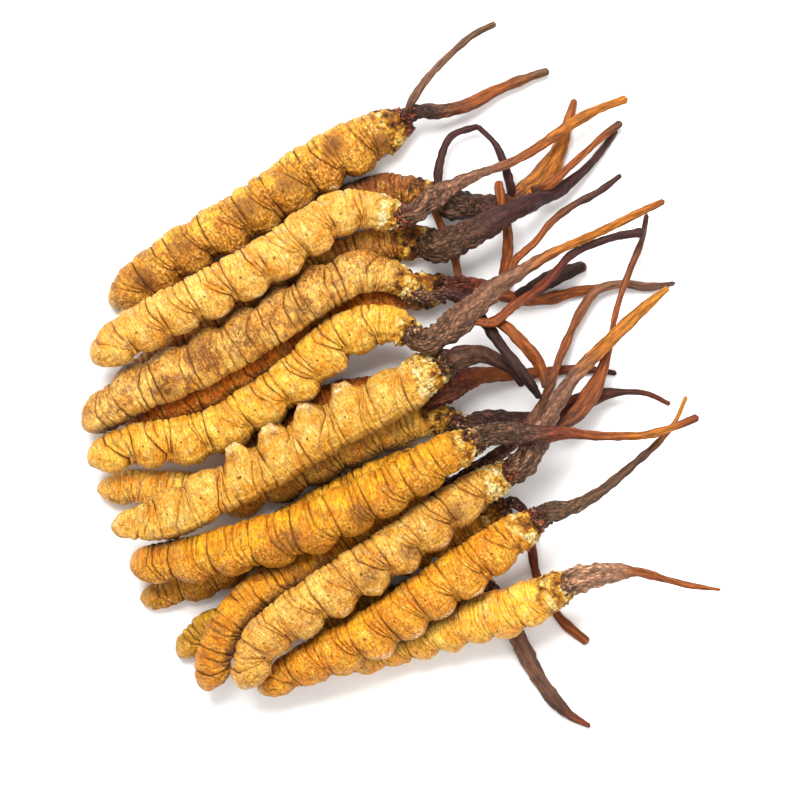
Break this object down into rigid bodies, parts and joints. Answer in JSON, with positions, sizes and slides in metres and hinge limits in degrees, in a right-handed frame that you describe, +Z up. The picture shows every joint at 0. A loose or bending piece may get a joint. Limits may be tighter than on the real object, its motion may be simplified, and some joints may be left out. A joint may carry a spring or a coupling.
{
  "type": "cordyceps bundle",
  "caption": "Heap of dried cordyceps lying side by side: ribbed golden larva bodies, each with a slender, twisting fungus stalk grown from its head.",
  "frame": {"origin": "middle of the heap's footprint, on the surface it lies on", "axes": "+Z up from the surface, +Y across the rows of larvae towards the uppermost one, +X from the tails towards the stalks' tips"},
  "size_m": [0.0798, 0.0884, 0.0167],
  "materials": {
    "larva_husk": "dry, dull, finely wrinkled golden-brown husk with dark folds",
    "fungus_stalk": "dry, fibrous dark brown stalk with ochre stretches"
  },
  "bodies": {
    "root": {"larva_a": "larva_husk", "larva_b": "larva_husk", "larva_c": "larva_husk", "larva_d": "larva_husk", "larva_e": "larva_husk", "larva_f": "larva_husk", "larva_g": "larva_husk", "larva_h": "larva_husk", "larva_i": "larva_husk", "larva_j": "larva_husk", "larva_k": "larva_husk", "larva_l": "larva_husk", "larva_m": "larva_husk", "larva_n": "larva_husk", "larva_o": "larva_husk", "larva_p": "larva_husk", "larva_t": "larva_husk", "larva_w": "larva_husk", "stalk_a": "fungus_stalk", "stalk_a_branch": "fungus_stalk", "stalk_b": "fungus_stalk", "stalk_c": "fungus_stalk", "stalk_c_branch": "fungus_stalk", "stalk_d": "fungus_stalk", "stalk_d_branch_1": "fungus_stalk", "stalk_d_branch_2": "fungus_stalk", "stalk_e": "fungus_stalk", "stalk_f": "fungus_stalk", "stalk_g": "fungus_stalk", "stalk_h": "fungus_stalk", "stalk_i": "fungus_stalk", "stalk_j": "fungus_stalk", "stalk_k": "fungus_stalk", "stalk_l": "fungus_stalk", "stalk_m": "fungus_stalk", "stalk_n": "fungus_stalk", "stalk_n_branch_1": "fungus_stalk", "stalk_n_branch_2": "fungus_stalk", "stalk_n_branch_3": "fungus_stalk", "stalk_o": "fungus_stalk", "stalk_p": "fungus_stalk", "stalk_p_branch_1": "fungus_stalk", "stalk_p_branch_2": "fungus_stalk", "stalk_p_branch_3": "fungus_stalk", "stalk_t": "fungus_stalk", "stalk_w": "fungus_stalk"}
  },
  "joints": []
}
